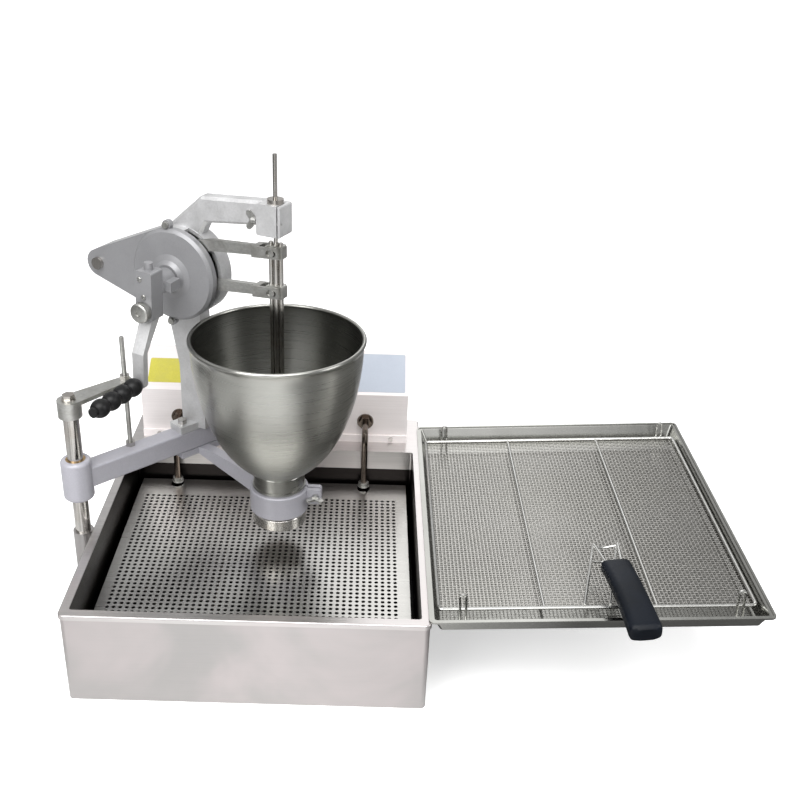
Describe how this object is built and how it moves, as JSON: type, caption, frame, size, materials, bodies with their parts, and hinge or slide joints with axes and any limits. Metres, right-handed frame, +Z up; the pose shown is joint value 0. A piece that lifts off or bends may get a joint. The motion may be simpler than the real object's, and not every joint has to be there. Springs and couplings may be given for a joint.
{
  "type": "doughnut machine",
  "caption": "Counter-top doughnut maker: electric fryer, swinging hand-cranked batter depositor with hopper and cam levers, draining tray with lift-out screen.",
  "frame": {"origin": "middle of the fryer's flat base, on the surface it stands on", "axes": "+X to the right along the fryer's front towards the draining tray, +Y to the back, +Z up"},
  "size_m": [0.9521, 0.6077, 0.664],
  "materials": {
    "stainless": "brushed",
    "bright_steel": "polished",
    "plain_steel": "machined",
    "grey_paint": "satin",
    "silver_cast": "cast",
    "black_plastic": "satin",
    "navy_plastic": "satin",
    "lamp_plastic": "gloss",
    "bronze": "satin"
  },
  "bodies": {
    "fryer": {"fryer_case": "stainless", "oil_tank": "stainless", "perforated_plate": "stainless", "heating_element": "bright_steel", "element_glands": "plain_steel", "control_box": "stainless", "box_screws": "bright_steel", "indicator_lamps": "lamp_plastic", "switch_frame": "black_plastic", "thermostat_body": "black_plastic", "post_socket": "grey_paint", "socket_bolts": "plain_steel", "tray_brackets": "stainless", "bracket_bolts": "plain_steel"},
    "thermostat": {"thermostat_knob": "black_plastic"},
    "rocker": {"power_switch": "black_plastic"},
    "tray": {"drain_tray": "stainless"},
    "screen": {"screen_frame": "bright_steel", "screen_mesh": "bright_steel", "screen_loops": "bright_steel", "handle_wires": "bright_steel", "handle_grip": "navy_plastic"},
    "column": {"post": "bright_steel", "post_bolt": "bright_steel", "link_plate": "plain_steel", "height_nuts": "bright_steel"},
    "head": {"swing_arm": "grey_paint", "arm_bush": "bronze", "height_rod": "bright_steel", "rod_nuts": "bright_steel", "head_casting": "silver_cast", "cam_cover": "grey_paint", "cover_screws": "plain_steel", "lever_pin": "bright_steel", "head_bolts": "bright_steel", "guide_bush": "bright_steel", "collar_clamp": "silver_cast", "hopper": "stainless", "nozzle_cylinder": "bright_steel"},
    "guide_clamp": {"guide_wing_screw": "plain_steel"},
    "collar_screw": {"collar_wing_screw": "plain_steel"},
    "crank": {"cam_front": "plain_steel", "cam_rear": "plain_steel", "cam_shaft": "bright_steel", "crank_hub": "plain_steel", "crank_arm": "silver_cast", "grip_spindle": "bright_steel"},
    "grip": {"crank_grip": "black_plastic"},
    "stroke_knob": {"crank_knob": "plain_steel"},
    "lever_upper": {"upper_lever": "plain_steel", "upper_roller": "bright_steel"},
    "lever_lower": {"lower_lever": "plain_steel", "lower_roller": "bright_steel"},
    "cutter": {"upper_crosshead": "plain_steel", "cutter_rod": "bright_steel", "cutter_disc": "bright_steel"},
    "piston": {"lower_crosshead": "plain_steel", "piston_rods": "bright_steel", "piston": "bright_steel"}
  },
  "joints": [
    {"name": "swing", "type": "hinge", "parent": "fryer", "child": "column", "pos_m": [-0.2583, -0.062, 0.1], "axis": [0, 0, 1], "range_deg": [-40, 15]},
    {"name": "height", "type": "slide", "parent": "column", "child": "head", "axis": [0, 0, 1], "range_m": [0, 0.045]},
    {"name": "crank_turn", "type": "hinge", "parent": "head", "child": "crank", "pos_m": [-0.12029, 0.06165, 0.478], "axis": [0.4226, 0.9063, 0], "range_deg": [0, 180]},
    {"name": "grip_spin", "type": "hinge", "parent": "crank", "child": "grip", "pos_m": [-0.19003, -0.07133, 0.3442], "axis": [0.4226, 0.9063, 0], "continuous": true},
    {"name": "stroke_adjust", "type": "hinge", "parent": "crank", "child": "stroke_knob", "pos_m": [-0.16017, -0.02016, 0.44804], "axis": [0.4226, 0.9063, 0], "continuous": true},
    {"name": "upper_lever_tilt", "type": "hinge", "parent": "head", "child": "lever_upper", "pos_m": [-0.2372, 0.11617, 0.473], "axis": [0.4226, 0.9063, 0], "range_deg": [0, 2.4]},
    {"name": "lower_lever_tilt", "type": "hinge", "parent": "head", "child": "lever_lower", "pos_m": [-0.2372, 0.11617, 0.473], "axis": [0.4226, 0.9063, 0], "range_deg": [0, 3.61]},
    {"name": "cutter_stroke", "type": "slide", "parent": "head", "child": "cutter", "axis": [0, 0, -1], "range_m": [0, 0.012]},
    {"name": "piston_stroke", "type": "slide", "parent": "head", "child": "piston", "axis": [0, 0, -1], "range_m": [0, 0.018]},
    {"name": "guide_screw", "type": "hinge", "parent": "head", "child": "guide_clamp", "pos_m": [-0.00189, -0.00624, 0.576], "axis": [-0.9063, 0.4226, 0], "continuous": true},
    {"name": "collar_screw_turn", "type": "hinge", "parent": "head", "child": "collar_screw", "pos_m": [0.07645, -0.01656, 0.162], "axis": [-0.0523, -0.9986, 0], "continuous": true},
    {"name": "thermostat_turn", "type": "hinge", "parent": "fryer", "child": "thermostat", "pos_m": [0.06, 0.23424, 0.25082], "axis": [0, 0.5021, -0.8648], "range_deg": [0, 270]},
    {"name": "switch_rock", "type": "hinge", "parent": "fryer", "child": "rocker", "pos_m": [-0.075, 0.23826, 0.24391], "axis": [1, 0, 0], "range_deg": [0, 20]},
    {"name": "tray_lift", "type": "slide", "parent": "fryer", "child": "tray", "axis": [-0.0523, 0, 0.9986], "range_m": [0, 0.12]},
    {"name": "screen_lift", "type": "slide", "parent": "tray", "child": "screen", "axis": [-0.0523, 0, 0.9986], "range_m": [0, 0.15]}
  ],
  "couplings": [
    {"joint": "upper_lever_tilt", "follows": "crank_turn", "ratio": 0.013356},
    {"joint": "lower_lever_tilt", "follows": "crank_turn", "ratio": 0.020033},
    {"joint": "cutter_stroke", "follows": "crank_turn", "m_per_rad": 0.0038197},
    {"joint": "piston_stroke", "follows": "crank_turn", "m_per_rad": 0.0057296}
  ]
}
